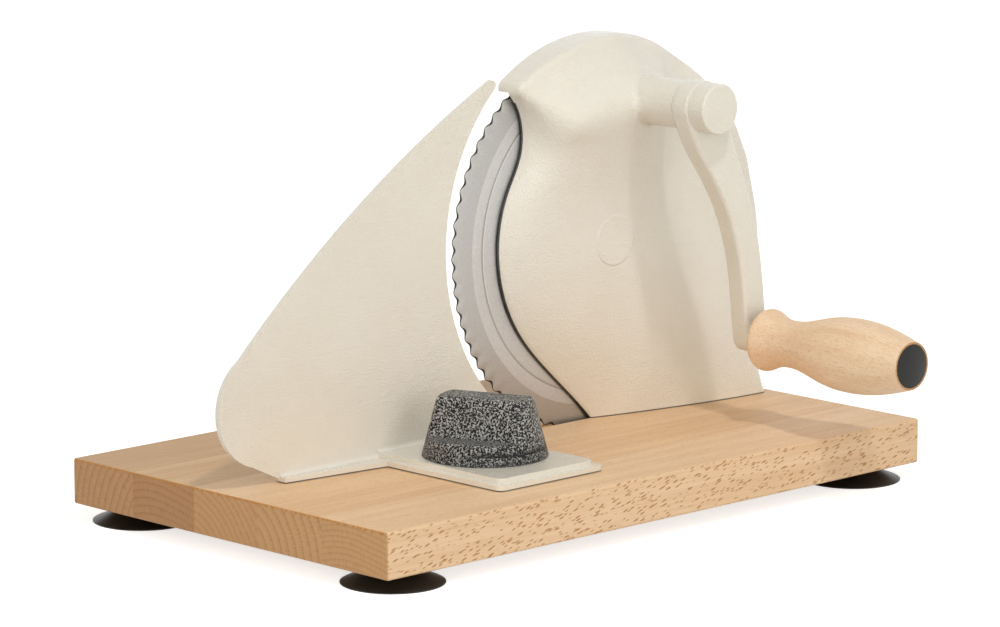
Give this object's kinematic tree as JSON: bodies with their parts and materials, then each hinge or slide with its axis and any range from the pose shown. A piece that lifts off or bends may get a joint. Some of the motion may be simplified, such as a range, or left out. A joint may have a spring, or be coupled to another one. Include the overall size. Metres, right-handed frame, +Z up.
{
  "type": "hand cranked bread slicer",
  "caption": "Hand cranked bread slicer: a geared round blade under a cream cast hood on a wooden board, with a crank, a sliding guide plate and its clamp knob.",
  "frame": {"origin": "under the middle of the whole object's box, on the surface the feet stand on", "axes": "+X along the board, the way the loaf is pushed; +Y from the crank side to the loaf side; +Z up"},
  "size_m": [0.3576, 0.2707, 0.2195],
  "materials": {
    "beech_board": "oiled, rounded edges",
    "rubber_feet": "matt black",
    "zinc_steel": "zinc plated",
    "cream_enamel": "glossy stippled enamel on a casting",
    "blade_steel": "ground, satin",
    "gear_steel": "machined",
    "bush_bronze": "turned bronze",
    "knob_plastic": "dark grey with pale speckle",
    "cap_plastic": "black satin",
    "insert_brass": "threaded insert"
  },
  "bodies": {
    "stand": {"board_stave_1": "beech_board", "board_stave_2": "beech_board", "board_stave_3": "beech_board", "board_stave_4": "beech_board", "board_stave_5": "beech_board", "suction_foot_front_left": "rubber_feet", "suction_foot_front_right": "rubber_feet", "suction_foot_back_left": "rubber_feet", "suction_foot_back_right": "rubber_feet", "foot_screws": "zinc_steel", "foot_washers": "zinc_steel", "housing": "cream_enamel", "housing_screws": "zinc_steel", "crank_bush_front": "bush_bronze", "crank_bush_rear": "bush_bronze", "blade_axle": "zinc_steel", "blade_screw": "zinc_steel"},
    "blade_set": {"blade": "blade_steel", "blade_gear": "gear_steel", "blade_rivets": "zinc_steel", "blade_bush": "bush_bronze"},
    "crank": {"crank_shaft": "zinc_steel", "crank_pinion": "gear_steel", "pinion_pin": "zinc_steel", "crank_washer": "zinc_steel", "crank_arm": "cream_enamel", "grip_pin": "zinc_steel", "grip_washer": "zinc_steel"},
    "grip_set": {"grip": "beech_board", "grip_cap": "cap_plastic"},
    "guide": {"guide_plate": "cream_enamel", "clamp_bolt": "zinc_steel", "clamp_bottom_washer": "zinc_steel", "clamp_washer": "zinc_steel"},
    "knob": {"clamp_knob": "knob_plastic", "knob_insert": "insert_brass"}
  },
  "joints": [
    {"name": "crank_turn", "type": "hinge", "parent": "stand", "child": "crank", "pos_m": [0.07777, -0.02395, 0.18874], "axis": [0, 1, 0], "continuous": true},
    {"name": "blade_turn", "type": "hinge", "parent": "stand", "child": "blade_set", "pos_m": [0.06815, 0.03165, 0.1194], "axis": [0, 1, 0], "continuous": true},
    {"name": "grip_spin", "type": "hinge", "parent": "crank", "child": "grip_set", "pos_m": [0.11578, -0.04055, 0.07176], "axis": [0, 1, 0], "continuous": true},
    {"name": "guide_slide", "type": "slide", "parent": "stand", "child": "guide", "axis": [0, -1, 0], "range_m": [-0.0036, 0.0144]},
    {"name": "clamp_knob_turn", "type": "hinge", "parent": "guide", "child": "knob", "pos_m": [-0.04865, -0.01415, 0.0365], "axis": [0, 0, 1], "range_deg": [0, 360]}
  ],
  "couplings": [
    {"joint": "blade_turn", "follows": "crank_turn", "ratio": -0.45833}
  ]
}
